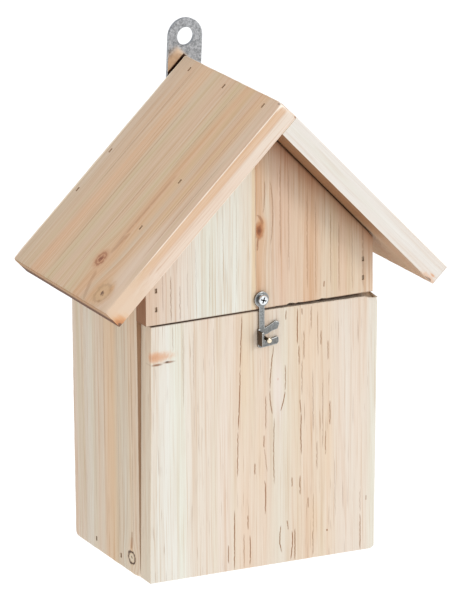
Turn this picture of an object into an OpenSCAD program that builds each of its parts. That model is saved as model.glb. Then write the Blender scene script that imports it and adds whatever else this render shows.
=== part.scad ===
// Wooden insect house with a pitched roof, a drop-front door on two small hinges,
// a swinging latch hook over a brass pin, and a steel plate to hang it on a wall by.
// Sizes are millimetres. Most pieces are laid out from the middle of the body's width, the
// front edges of the side panels and their feet, then moved as one so that the origin is
// the centre of the hanging hole at the plate's back face, against the wall.
// +X is to the right seen from the front, +Y is towards the wall and +Z is up.

/* [Pieces shown] */
// Name of one piece, or all of them

/* [Body] */
// Thickness of every board but the back panel
board_t = 12; // [10:0.5:14]
// Thickness of the back panel
back_t = 13.4; // [11:0.1:15]
// Width of the body across its side panels, and of the door and the back panel
body_w = 135; // [120:1:150]
// Depth of the side panels from their front edges to the back panel
side_d = 66.5; // [50:0.5:90]
// Radius of the back panel's lower back edge
back_edge_r = 4.5; // [1:0.5:6]
// Width of the seam between the door and the gable, at the middle of the door
seam = 1.9; // [1.4:0.1:4]
// Place of the joint between the two gable boards, from the middle of the body
gable_joint_x = -2.7; // [-20:0.1:-2.5]
// Slit left between the gable's right slope and the roof
gable_slit = 0.5; // [0.2:0.1:1.5]

/* [Roof] */
// Height of the ridge above the gable's lower edge
ridge_rise = 118.1; // [108:0.1:130]
// Place of the ridge to the right of the middle of the body
ridge_x = 1.7; // [-2:0.1:4]
// Pitch that both slopes were meant to have
roof_pitch = 45; // [42:0.5:47]
// Turn of the whole roof, clockwise seen from the front
roof_skew = 1.4; // [0:0.1:2]
// Reach of the left roof board beyond the left side panel
left_eave = 34.9; // [22:0.1:45]
// Reach of the right roof board, which butts under the left one, beyond the right side panel
right_eave = 32.3; // [20:0.1:42]
// Reach of the roof in front of the gable
roof_reach = 23.6; // [10:0.2:35]
// Distance of the roof's back edges in front of the back panel's back face
roof_inset = 1.4; // [0:0.1:3]

/* [Door] */
// Height of the door
door_h = 142.5; // [125:0.1:165]
// Height of the middle of the door's lower edge over the feet of the side panels
door_z = -0.6; // [-2:0.1:0]
// Place of the door's lower edge to the right of the middle of the body
door_x = 0.4; // [0:0.1:1]
// Turn of the door, clockwise seen from the front
door_skew = 1; // [0:0.1:1]
// Radius of the door's worn lower right corner
door_corner_r = 3; // [1:0.5:5]

/* [Hinges] */
// Distance of each hinge's middle from the inner face of the side panel
hinge_inset = 17.5; // [15:0.5:28]
// Width of a hinge
hinge_w = 22; // [18:0.5:26]
// Height of a hinge leaf above the hinge's axis
leaf_h = 11; // [10:0.5:12]
// Thickness of a hinge leaf
leaf_t = 0.8; // [0.6:0.1:1]
// Outside radius of a hinge knuckle
knuckle_r = 1.5; // [1.4:0.1:1.8]
// Radius of a hinge pin
hinge_pin_r = 0.7; // [0.6:0.05:0.8]
// Place of each hinge screw from the middle of its leaf
leaf_screw_x = 6.5; // [5:0.5:7]
// Radius of a hinge screw's shank
leaf_screw_r = 0.9; // [0.7:0.05:1]
// Radius of a hinge screw's countersunk head
leaf_screw_head_r = 1.7; // [1.5:0.05:1.9]
// Length of a hinge screw
leaf_screw_l = 9; // [6:0.5:9.5]

/* [Latch] */
// Height of the latch's pivot above the gable's lower edge
latch_rise = 5.7; // [5:0.1:8]
// Place of the latch's pivot from the middle of the body
latch_x = 0; // [-0.5:0.1:10]
// Thickness of the latch hook's sheet steel
hook_t = 1.2; // [1:0.1:1.5]
// Gap between the latch hook and the face of the gable and the door
hook_gap = 0.3; // [0.2:0.1:0.5]
// Outside radius of the ring round the pivot screw
ring_r = 4.25; // [3.8:0.05:4.8]
// Half of the width of the latch hook's arm
arm_half = 1.6; // [1.4:0.1:1.8]
// Drop from the pivot to the brass pin
pin_drop = 21.6; // [20.5:0.1:23]
// Place of the brass pin to the right of the pivot
pin_right = 1.6; // [1.5:0.1:2.4]
// Radius of the brass pin's shank
pin_r = 1; // [0.8:0.05:1.1]
// Radius of the brass pin's domed head
pin_head_r = 1.4; // [1.3:0.05:1.6]
// Height of the brass pin over the door, head and all
pin_proud = 7.4; // [7:0.1:10]
// Depth of the brass pin in the door
pin_depth = 8; // [5:0.5:9]
// Reach of the finger tab in front of the hook's back
tab_reach = 6.2; // [5:0.1:8]
// Height of the finger tab
tab_h = 8; // [6:0.1:8.6]
// Radius of the pivot screw's shank
pivot_r = 1.5; // [1.3:0.05:1.6]
// Radius of the pivot screw's head
pivot_head_r = 2.8; // [2.5:0.05:3.2]
// Length of the pivot screw under its head
pivot_l = 12; // [9:0.5:12.5]

/* [Hanging plate] */
// Width of the plate
plate_w = 20; // [17:0.5:24]
// Thickness of the plate
plate_t = 2; // [2:0.5:4]
// Height of the hanging hole above the ridge
hole_rise = 10; // [9.5:0.1:18]
// Place of the hanging hole from the middle of the body
hole_x = 2.9; // [-2:0.1:4]
// Radius of the hanging hole
hole_r = 5; // [3.5:0.1:6]
// Length of the plate below the hanging hole
plate_l = 60; // [52:0.5:75]
// Turn of the plate, clockwise seen from the front
plate_skew = 3; // [0:0.5:4]
// Drop from the hanging hole to the upper of the plate's two screws
plate_screw_drop = 36; // [34:0.5:39]
// Step from the upper screw of the plate to the lower one
plate_screw_step = 16; // [10:0.5:16.5]
// Radius of a plate screw's shank
plate_screw_r = 1.75; // [1.5:0.05:2]
// Radius of a plate screw's countersunk head
plate_screw_head_r = 3.6; // [3:0.1:4]
// Length of a plate screw
plate_screw_l = 12; // [9:0.5:12]

/* [Brads] */
// Length of a brad
brad_l = 25; // [20:0.5:28]
// Radius of a brad's shank
brad_r = 0.5; // [0.4:0.05:0.6]
// Length of a brad's oblong head along the grain
brad_head_l = 2.6; // [1.8:0.1:3]
// Width of a brad's head across the grain
brad_head_w = 1.3; // [1.2:0.1:1.5]
// Thickness of a brad's head
brad_head_t = 0.6; // [0.4:0.1:1]
// Depth of a brad's head below the face that it is driven into
brad_sink = 0.6; // [0:0.1:1]
// Distance of the first ridge brad behind the roof's front edge
ridge_brad_front = 14.3; // [8:0.1:25]
// Distance of the second ridge brad behind the first
ridge_brad_step = 45.3; // [35:0.1:50]
// Distance of the third ridge brad in front of the roof's back edge
ridge_brad_rear = 13.9; // [8:0.1:25]
// Distance of the upper brads over the gable down the slope from the ridge
gable_brad_upper = 63; // [45:0.1:75]
// Distance of the lower brads over the gable down the slope from the ridge
gable_brad_lower = 94.7; // [82:0.1:97]
// Distance of the upper brads over the back panel down the slope from the ridge
back_brad_upper = 66; // [45:0.1:75]
// Distance of the lower brads over the back panel down the slope from the ridge
back_brad_lower = 93.3; // [82:0.1:97]
// Height of the lower brad at each end of the gable over its lower edge
end_brad_low = 8.6; // [6:0.1:11]
// Height of the upper brad at each end of the gable over its lower edge
end_brad_high = 18.9; // [14:0.1:22]
// Distance of the front floor brads behind the front edges of the side panels
floor_brad_front = 22.7; // [15:0.1:30]
// Distance of the rear floor brads in front of the back edges of the side panels
floor_brad_rear = 13.3; // [8:0.1:25]
// Height of the lowest brad at each edge of the back panel
edge_brad_low = 20; // [15:0.5:30]
// Step between the brads at each edge of the back panel
edge_brad_step = 70; // [50:0.5:74]

/* [Hidden] */
round_fn = 32;
small_fn = 24;
play = 0.05;
far = 400;
half_w = body_w / 2;
inner_half = half_w - board_t;
back_y = side_d + back_t;
wall_y = back_y + plate_t;
gable_z = door_z + door_h * cos(door_skew) + seam;
ridge_z = gable_z + ridge_rise;
left_pitch = roof_pitch - roof_skew;
right_pitch = 90 - left_pitch;
left_roof_l = (half_w + ridge_x + left_eave) / cos(left_pitch);
right_roof_l = (half_w - ridge_x + right_eave - board_t * sin(left_pitch)) / cos(right_pitch);
roof_front_y = -board_t - roof_reach;
roof_back_y = back_y - roof_inset;
roof_d = roof_back_y - roof_front_y;
hole_z = ridge_z + hole_rise;
hinge_x = inner_half - hinge_inset;
knuckle_gap = 0.2;
knuckle_clear = 0.1;
axis_y = leaf_t;
axis_z = -knuckle_r - knuckle_clear;
leaf_foot_z = 0.15;
leaf_top_z = leaf_h + axis_z;
leaf_screw_drop = 4;
leaf_screw_z = leaf_top_z - leaf_screw_drop;
leaf_screw_head_t = 0.85 * leaf_t;
knuckle_w = (hinge_w - 2 * knuckle_gap) / 3;
latch_z = gable_z + latch_rise;
hook_back_y = -board_t - hook_gap;
hook_front_y = hook_back_y - hook_t;
throat_play = 0.15;
throat_r = pin_r + throat_play;
hook_left = -arm_half - 0.9;
tab_foot_z = -pin_drop - throat_r - 2.1;
pin_head_t = 0.75 * pin_head_r;
pivot_head_t = 0.75 * pivot_head_r;
plate_screw_head_t = 0.65 * plate_t;

module to_wall_frame() {
  translate([-hole_x, -wall_y, -hole_z]) children();
}

// Places that several pieces share

module in_left_roof() {
  translate([ridge_x, 0, ridge_z]) rotate([0, -left_pitch, 0]) children();
}

module in_right_roof() {
  translate([ridge_x, 0, ridge_z]) rotate([0, right_pitch, 0]) children();
}

module in_door() {
  translate([door_x, 0, door_z]) rotate([0, door_skew, 0]) children();
}

module in_plate() {
  translate([hole_x, wall_y, hole_z]) rotate([0, plate_skew, 0]) children();
}

module at_pivot() {
  translate([latch_x, 0, latch_z]) children();
}

module at_pin() {
  translate([latch_x + pin_right, 0, latch_z - pin_drop]) children();
}

module at_ridge_brads() {
  first_y = roof_front_y + ridge_brad_front;
  for (y = [first_y, first_y + ridge_brad_step, roof_back_y - ridge_brad_rear])
    in_left_roof() translate([-board_t / 2, y, 0]) children();
}

module at_left_gable_brads() {
  for (s = [gable_brad_upper, gable_brad_lower])
    in_left_roof() translate([-s, -board_t / 2, 0]) children();
}

module at_right_gable_brads() {
  for (s = [gable_brad_upper, gable_brad_lower])
    in_right_roof() translate([s, -board_t / 2, 0]) children();
}

module at_left_back_brads() {
  for (s = [back_brad_upper, back_brad_lower])
    in_left_roof() translate([-s, side_d + back_t / 2, 0]) children();
}

module at_right_back_brads() {
  for (s = [back_brad_upper, back_brad_lower])
    in_right_roof() translate([s, side_d + back_t / 2, 0]) children();
}

module at_gable_side_brads(side) {
  for (rise = [end_brad_low, end_brad_high])
    translate([side * (half_w - board_t / 2), -board_t, gable_z + rise])
      rotate([90, 0, 0]) rotate([0, 0, 90]) children();
}

module at_floor_brads(side) {
  for (y = [floor_brad_front, side_d - floor_brad_rear])
    translate([side * half_w, y, board_t / 2]) rotate([0, side * 90, 0]) children();
}

module at_back_side_brads(side) {
  for (k = [0, 1, 2])
    translate([side * (half_w - board_t / 2), back_y, edge_brad_low + k * edge_brad_step])
      rotate([-90, 0, 0]) rotate([0, 0, 90]) children();
}

module at_plate_screws() {
  for (k = [0, 1])
    in_plate() translate([0, 0, -plate_screw_drop - k * plate_screw_step])
      rotate([-90, 0, 0]) children();
}

module at_leaf_screws(side) {
  for (k = [-1, 1])
    in_door() translate([side * hinge_x + k * leaf_screw_x, axis_y, leaf_screw_z]) children();
}

// Fasteners, all driven down from z = 0. A brad's oblong head lies along x, with the grain.

module brad_head(rim, z, height) {
  translate([-brad_head_l / 2 - rim, -brad_head_w / 2 - rim, z])
    cube([brad_head_l + 2 * rim, brad_head_w + 2 * rim, height]);
}

module brad() {
  brad_head(0, -brad_sink - brad_head_t, brad_head_t);
  translate([0, 0, -brad_sink - brad_l])
    cylinder(h = brad_l - brad_head_t, r = brad_r, $fn = small_fn);
}

module brad_bore() {
  brad_head(play, -brad_sink - brad_head_t, brad_sink + brad_head_t + 1);
  translate([0, 0, -brad_sink - brad_l])
    cylinder(h = brad_l, r = brad_r + play, $fn = small_fn);
}

module countersunk_screw(shank_r, head_r, head_t, length) {
  difference() {
    union() {
      translate([0, 0, -head_t])
        cylinder(h = head_t, r1 = shank_r, r2 = head_r, $fn = small_fn);
      translate([0, 0, -length])
        cylinder(h = length - head_t, r = shank_r, $fn = small_fn);
    }
    for (a = [0, 90])
      rotate([0, 0, a])
        translate([-head_r * 0.6, -head_r * 0.12, -head_t * 0.4])
          cube([head_r * 1.2, head_r * 0.24, head_t]);
  }
}

module countersunk_bore(shank_r, head_r, head_t, length) {
  translate([0, 0, -head_t])
    cylinder(h = head_t, r1 = shank_r + play, r2 = head_r + play, $fn = small_fn);
  translate([0, 0, -0.01]) cylinder(h = 1, r = head_r + play, $fn = small_fn);
  translate([0, 0, -length]) cylinder(h = length, r = shank_r + play, $fn = small_fn);
}

// Boards

// Everything below the undersides of both roof boards, the right one lowered by drop
module under_roof(drop) {
  intersection() {
    in_left_roof()
      translate([-far, -far, -board_t - far]) cube([2 * far, 2 * far, far]);
    in_right_roof()
      translate([-far, -far, -board_t - drop - far]) cube([2 * far, 2 * far, far]);
  }
}

// What a round arris along +Y loses at the corner [0, 0, 0] of a board to its left and above
module arris_waste(r, length) {
  difference() {
    translate([-r, 0, -1]) cube([r + 1, length, r + 1]);
    translate([-r, -1, r]) rotate([-90, 0, 0]) cylinder(h = length + 2, r = r, $fn = round_fn);
  }
}

module side_board(side) {
  x = side < 0 ? -half_w : inner_half;
  difference() {
    intersection() {
      translate([x, 0, 0]) cube([board_t, side_d, far]);
      under_roof(0);
    }
    at_gable_side_brads(side) brad_bore();
    at_floor_brads(side) brad_bore();
    at_back_side_brads(side) brad_bore();
  }
}

module left_side_panel() {
  color("burlywood") to_wall_frame() side_board(-1);
}

module right_side_panel() {
  color("burlywood") to_wall_frame() side_board(1);
}

module back_panel() {
  color("tan") to_wall_frame() difference() {
    intersection() {
      translate([-half_w, side_d, 0]) cube([body_w, back_t, far]);
      under_roof(0);
    }
    translate([half_w + 1, back_y, 0]) rotate([0, 0, 90])
      arris_waste(back_edge_r, body_w + 2);
    for (side = [-1, 1]) at_back_side_brads(side) brad_bore();
    at_left_back_brads() brad_bore();
    at_right_back_brads() brad_bore();
    at_plate_screws()
      countersunk_bore(plate_screw_r, plate_screw_head_r, plate_screw_head_t, plate_screw_l);
  }
}

// The floor stops short of the side panels' front edges, to leave room for the hinge leaves
module floor_panel() {
  color("wheat") to_wall_frame() difference() {
    translate([-inner_half, 2 * leaf_t, 0])
      cube([2 * inner_half, side_d - 2 * leaf_t, board_t]);
    for (side = [-1, 1]) at_floor_brads(side) brad_bore();
    for (side = [-1, 1])
      at_leaf_screws(side) rotate([90, 0, 0])
        countersunk_bore(leaf_screw_r, leaf_screw_head_r, leaf_screw_head_t, leaf_screw_l);
  }
}

module gable_left_board() {
  color("cornsilk") to_wall_frame() difference() {
    intersection() {
      translate([-half_w, -board_t, gable_z])
        cube([half_w + gable_joint_x, board_t, far]);
      under_roof(gable_slit);
    }
    at_left_gable_brads() brad_bore();
    at_gable_side_brads(-1) brad_bore();
  }
}

module gable_right_board() {
  color("navajowhite") to_wall_frame() difference() {
    intersection() {
      translate([gable_joint_x, -board_t, gable_z])
        cube([half_w - gable_joint_x, board_t, far]);
      under_roof(gable_slit);
    }
    at_right_gable_brads() brad_bore();
    at_gable_side_brads(1) brad_bore();
    at_pivot() pivot_bore();
  }
}

module left_roof_board() {
  color("peru") to_wall_frame() difference() {
    in_left_roof()
      translate([-left_roof_l, roof_front_y, -board_t])
        cube([left_roof_l, roof_d, board_t]);
    at_ridge_brads() brad_bore();
    at_left_gable_brads() brad_bore();
    at_left_back_brads() brad_bore();
  }
}

module right_roof_board() {
  color("sandybrown") to_wall_frame() difference() {
    in_right_roof()
      translate([board_t, roof_front_y, -board_t])
        cube([right_roof_l, roof_d, board_t]);
    at_ridge_brads() brad_bore();
    at_right_gable_brads() brad_bore();
    at_right_back_brads() brad_bore();
  }
}

module door_panel() {
  color("linen") to_wall_frame() difference() {
    in_door() translate([-half_w, -board_t, 0]) cube([body_w, board_t, door_h]);
    in_door() translate([half_w, -board_t - 1, 0])
      arris_waste(door_corner_r, board_t + 2);
    at_pin() translate([0, -board_t + pin_depth, 0]) rotate([90, 0, 0])
      cylinder(h = pin_depth + 1, r = pin_r + play, $fn = small_fn);
    for (side = [-1, 1])
      at_leaf_screws(side) rotate([-90, 0, 0])
        countersunk_bore(leaf_screw_r, leaf_screw_head_r, leaf_screw_head_t, leaf_screw_l);
  }
}

// Brads, a node for each run of them

module ridge_brads() {
  color("dimgray") to_wall_frame() at_ridge_brads() brad();
}

module roof_to_gable_brads() {
  color("dimgray") to_wall_frame() {
    at_left_gable_brads() brad();
    at_right_gable_brads() brad();
  }
}

module roof_to_back_brads() {
  color("dimgray") to_wall_frame() {
    at_left_back_brads() brad();
    at_right_back_brads() brad();
  }
}

module gable_to_side_brads() {
  color("dimgray") to_wall_frame() for (side = [-1, 1]) at_gable_side_brads(side) brad();
}

module side_to_floor_brads() {
  color("dimgray") to_wall_frame() for (side = [-1, 1]) at_floor_brads(side) brad();
}

module back_to_side_brads() {
  color("dimgray") to_wall_frame() for (side = [-1, 1]) at_back_side_brads(side) brad();
}

// Hanging plate, let flush against the wall, with its screws countersunk from behind

module hanging_plate() {
  color("silver") to_wall_frame() difference() {
    union() {
      in_plate() rotate([90, 0, 0]) cylinder(h = plate_t, r = plate_w / 2, $fn = 64);
      in_plate() translate([-plate_w / 2, -plate_t, -plate_l])
        cube([plate_w, plate_t, plate_l]);
    }
    in_plate() translate([0, 1, 0]) rotate([90, 0, 0])
      cylinder(h = plate_t + 2, r = hole_r, $fn = 64);
    at_plate_screws()
      countersunk_bore(plate_screw_r, plate_screw_head_r, plate_screw_head_t, plate_screw_l);
  }
}

module hanging_plate_screws() {
  color("gray") to_wall_frame() at_plate_screws()
    countersunk_screw(plate_screw_r, plate_screw_head_r, plate_screw_head_t, plate_screw_l);
}

// Hinges: both leaves lie folded between the door and the floor, and the knuckles hang
// just below the door's lower edge. The whole hinge line is skewed with the door.

module knuckle(x) {
  translate([x, axis_y, axis_z]) rotate([0, 90, 0])
    cylinder(h = knuckle_w, r = knuckle_r, $fn = round_fn);
}

// A leaf spans y0 to y0 + leaf_t; its knuckles start at the places in knuckle_x
module hinge_leaf(side, y0, knuckle_x, screw_turn) {
  start = side * hinge_x - hinge_w / 2;
  difference() {
    in_door() union() {
      translate([start, y0, leaf_foot_z]) cube([hinge_w, leaf_t, leaf_top_z - leaf_foot_z]);
      for (k = knuckle_x) {
        knuckle(start + k);
        translate([start + k, y0, axis_z])
          cube([knuckle_w, leaf_t, leaf_foot_z - axis_z + 0.5]);
      }
    }
    in_door() translate([start - 1, axis_y, axis_z]) rotate([0, 90, 0])
      cylinder(h = hinge_w + 2, r = hinge_pin_r + play, $fn = small_fn);
    at_leaf_screws(side) rotate([screw_turn, 0, 0])
      countersunk_bore(leaf_screw_r, leaf_screw_head_r, leaf_screw_head_t, leaf_screw_l);
  }
}

module fixed_leaf(side) {
  hinge_leaf(side, axis_y, [0, 2 * (knuckle_w + knuckle_gap)], 90);
}

module door_leaf(side) {
  hinge_leaf(side, axis_y - leaf_t, [knuckle_w + knuckle_gap], -90);
}

module hinge_pin(side) {
  in_door() translate([side * hinge_x - hinge_w / 2, axis_y, axis_z]) rotate([0, 90, 0])
    cylinder(h = hinge_w, r = hinge_pin_r, $fn = small_fn);
}

module left_hinge_fixed_leaf() {
  color("gold") to_wall_frame() fixed_leaf(-1);
}

module right_hinge_fixed_leaf() {
  color("gold") to_wall_frame() fixed_leaf(1);
}

module left_hinge_door_leaf() {
  color("goldenrod") to_wall_frame() door_leaf(-1);
}

module right_hinge_door_leaf() {
  color("goldenrod") to_wall_frame() door_leaf(1);
}

module left_hinge_pin() {
  color("gray") to_wall_frame() hinge_pin(-1);
}

module right_hinge_pin() {
  color("gray") to_wall_frame() hinge_pin(1);
}

module hinge_fixed_leaf_screws() {
  color("gray") to_wall_frame() for (side = [-1, 1])
    at_leaf_screws(side) rotate([90, 0, 0])
      countersunk_screw(leaf_screw_r, leaf_screw_head_r, leaf_screw_head_t, leaf_screw_l);
}

module hinge_door_leaf_screws() {
  color("gray") to_wall_frame() for (side = [-1, 1])
    at_leaf_screws(side) rotate([-90, 0, 0])
      countersunk_screw(leaf_screw_r, leaf_screw_head_r, leaf_screw_head_t, leaf_screw_l);
}

// Latch

module pivot_bore() {
  translate([0, hook_front_y + pivot_l, 0]) rotate([90, 0, 0])
    cylinder(h = pivot_l, r = pivot_r + play, $fn = small_fn);
}

// Pan head with a cross recess, bearing on the ring of the hook
module latch_pivot_screw() {
  color("lightgray") to_wall_frame() at_pivot() difference() {
    union() {
      translate([0, hook_front_y + pivot_l, 0]) rotate([90, 0, 0])
        cylinder(h = pivot_l, r = pivot_r, $fn = small_fn);
      translate([0, hook_front_y, 0]) rotate([90, 0, 0]) {
        cylinder(h = 0.65 * pivot_head_t, r = pivot_head_r, $fn = round_fn);
        translate([0, 0, 0.65 * pivot_head_t])
          cylinder(h = 0.25 * pivot_head_t, r1 = pivot_head_r, r2 = 0.88 * pivot_head_r,
            $fn = round_fn);
        translate([0, 0, 0.9 * pivot_head_t])
          cylinder(h = 0.1 * pivot_head_t, r1 = 0.88 * pivot_head_r,
            r2 = 0.6 * pivot_head_r, $fn = round_fn);
      }
    }
    for (a = [20, 110])
      rotate([0, a, 0])
        translate([-0.6 * pivot_head_r, hook_front_y - pivot_head_t - 1, -0.13 * pivot_head_r])
          cube([1.2 * pivot_head_r, 1 + 0.55 * pivot_head_t, 0.26 * pivot_head_r]);
  }
}

// Pin with a domed head, standing out of the door through the mouth of the hook
module latch_pin() {
  color("goldenrod") to_wall_frame() at_pin() rotate([90, 0, 0]) {
    translate([0, 0, board_t - pin_depth])
      cylinder(h = pin_depth + pin_proud - pin_head_t, r = pin_r, $fn = small_fn);
    translate([0, 0, board_t + pin_proud - pin_head_t]) {
      cylinder(h = 0.5 * pin_head_t, r = pin_head_r, $fn = small_fn);
      translate([0, 0, 0.5 * pin_head_t])
        cylinder(h = 0.3 * pin_head_t, r1 = pin_head_r, r2 = 0.8 * pin_head_r,
          $fn = small_fn);
      translate([0, 0, 0.8 * pin_head_t])
        cylinder(h = 0.2 * pin_head_t, r1 = 0.8 * pin_head_r, r2 = 0.45 * pin_head_r,
          $fn = small_fn);
    }
  }
}

// Flat outline of the hook below its ring, seen from the front with the pivot at [0, 0]:
// arm, an upper prong that slants up, the mouth, and a level lower prong
module hook_outline() {
  mouth = -pin_drop;
  difference() {
    polygon([
      [-arm_half, 0],
      [arm_half, 0],
      [arm_half, mouth + 5.6],
      [arm_half + 2.2, mouth + 6.5],
      [arm_half + 6.2, mouth + 8.6],
      [arm_half + 8.2, mouth + 8.2],
      [arm_half + 8.8, mouth + 6.8],
      [arm_half + 7.6, mouth + 4],
      [arm_half + 4.2, mouth + 3.3],
      [pin_right + 1.6, mouth + 2],
      [pin_right, mouth + 2],
      [pin_right, mouth - throat_r],
      [pin_right + 3, mouth - throat_r + 0.1],
      [pin_right + 7.6, mouth - throat_r + 1],
      [pin_right + 8.2, mouth - throat_r + 0.5],
      [pin_right + 8.4, mouth - throat_r - 1.9],
      [pin_right + 7.4, mouth - throat_r - 3.2],
      [pin_right - 0.6, mouth - throat_r - 4],
      [hook_left + 1.3, mouth - throat_r - 4],
      [hook_left, mouth - throat_r - 3.3],
      [hook_left, mouth + 4.7],
      [hook_left + 0.4, mouth + 5.2],
      [-arm_half, mouth + 5.8]
    ]);
    translate([pin_right, mouth]) circle(r = throat_r, $fn = small_fn);
  }
}

module latch_hook() {
  color("gainsboro") to_wall_frame() at_pivot() difference() {
    union() {
      translate([0, hook_back_y, 0]) rotate([90, 0, 0])
        cylinder(h = hook_t, r = ring_r, $fn = 48);
      translate([0, hook_back_y, 0]) rotate([90, 0, 0])
        linear_extrude(height = hook_t) hook_outline();
      translate([hook_left, hook_back_y - tab_reach, tab_foot_z])
        cube([hook_t, tab_reach, tab_h]);
    }
    translate([0, hook_back_y + 1, 0]) rotate([90, 0, 0])
      cylinder(h = hook_t + 2, r = pivot_r + play, $fn = small_fn);
  }
}

back_panel();
left_side_panel();
right_side_panel();
floor_panel();
gable_left_board();
gable_right_board();
left_roof_board();
right_roof_board();
ridge_brads();
roof_to_gable_brads();
roof_to_back_brads();
gable_to_side_brads();
side_to_floor_brads();
back_to_side_brads();
hanging_plate();
hanging_plate_screws();
latch_pivot_screw();
left_hinge_fixed_leaf();
right_hinge_fixed_leaf();
left_hinge_pin();
right_hinge_pin();
hinge_fixed_leaf_screws();
door_panel();
left_hinge_door_leaf();
right_hinge_door_leaf();
hinge_door_leaf_screws();
latch_pin();
latch_hook();
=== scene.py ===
import math
import random

import bmesh
import bpy
from mathutils import Matrix, Vector, noise


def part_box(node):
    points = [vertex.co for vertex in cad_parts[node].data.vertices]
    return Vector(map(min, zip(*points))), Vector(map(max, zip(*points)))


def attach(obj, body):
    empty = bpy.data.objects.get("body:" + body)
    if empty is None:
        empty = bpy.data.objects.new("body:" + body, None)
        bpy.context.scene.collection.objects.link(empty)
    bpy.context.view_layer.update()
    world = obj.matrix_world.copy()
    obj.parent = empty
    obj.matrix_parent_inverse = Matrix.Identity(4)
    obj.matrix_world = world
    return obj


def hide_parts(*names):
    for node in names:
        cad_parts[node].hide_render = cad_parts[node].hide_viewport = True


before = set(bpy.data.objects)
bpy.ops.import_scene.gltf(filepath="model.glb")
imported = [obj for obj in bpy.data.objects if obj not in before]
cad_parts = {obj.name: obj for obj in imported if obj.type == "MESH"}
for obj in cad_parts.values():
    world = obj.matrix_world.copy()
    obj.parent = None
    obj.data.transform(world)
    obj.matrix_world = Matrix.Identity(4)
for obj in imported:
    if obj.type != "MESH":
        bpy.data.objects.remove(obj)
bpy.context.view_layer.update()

MM = 0.001
X, Y, Z = Vector((1, 0, 0)), Vector((0, 1, 0)), Vector((0, 0, 1))

# The part is laid out from the middle of the body's width, the front edges of the side
# panels and their feet, in millimetres. ORIGIN is the frame's origin in those numbers.
ORIGIN = Vector((2.9, 81.9, 271.8783))
BASE = (0, 0, 0)
RIDGE = (1.7, 0, 261.8783)
THICK = 12
BODY_WIDTH = 135
GABLE_FOOT = 143.8
DOOR_TOP = 143.25
ROOF_FRONT = -35.6
LEFT_SLOPE = 143.7
RIGHT_SLOPE = 142.2

# The roof's slopes meet at a right angle, so that down one is into the other
LEFT_PITCH = math.radians(43.6)
DOWN_LEFT = Vector((-math.cos(LEFT_PITCH), 0, -math.sin(LEFT_PITCH)))
DOWN_RIGHT = Vector((math.sin(LEFT_PITCH), 0, -math.cos(LEFT_PITCH)))
IN_LEFT = DOWN_RIGHT
IN_RIGHT = DOWN_LEFT


def row(x, y, z):
    """A point of the layout, in the frame's metres."""
    return (Vector((x, y, z)) - ORIGIN) * MM


def from_ridge(length, direction):
    """A point of the layout, that far from the ridge in a direction."""
    return tuple(start + length * step for start, step in zip(RIDGE, direction))


# The right roof board's underside and both boards' lower ends
UNDER_RIGHT = from_ridge(THICK, IN_RIGHT)
END_LEFT = from_ridge(LEFT_SLOPE, DOWN_LEFT)
END_RIGHT = from_ridge(RIGHT_SLOPE, DOWN_RIGHT)


# Node trees


def linear(rgb):
    """An sRGB colour of three numbers to 255 as a linear RGBA colour."""
    out = []
    for c in rgb:
        c = c / 255
        out.append(c / 12.92 if c <= 0.04045 else ((c + 0.055) / 1.055) ** 2.4)
    return (*out, 1.0)


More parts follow.
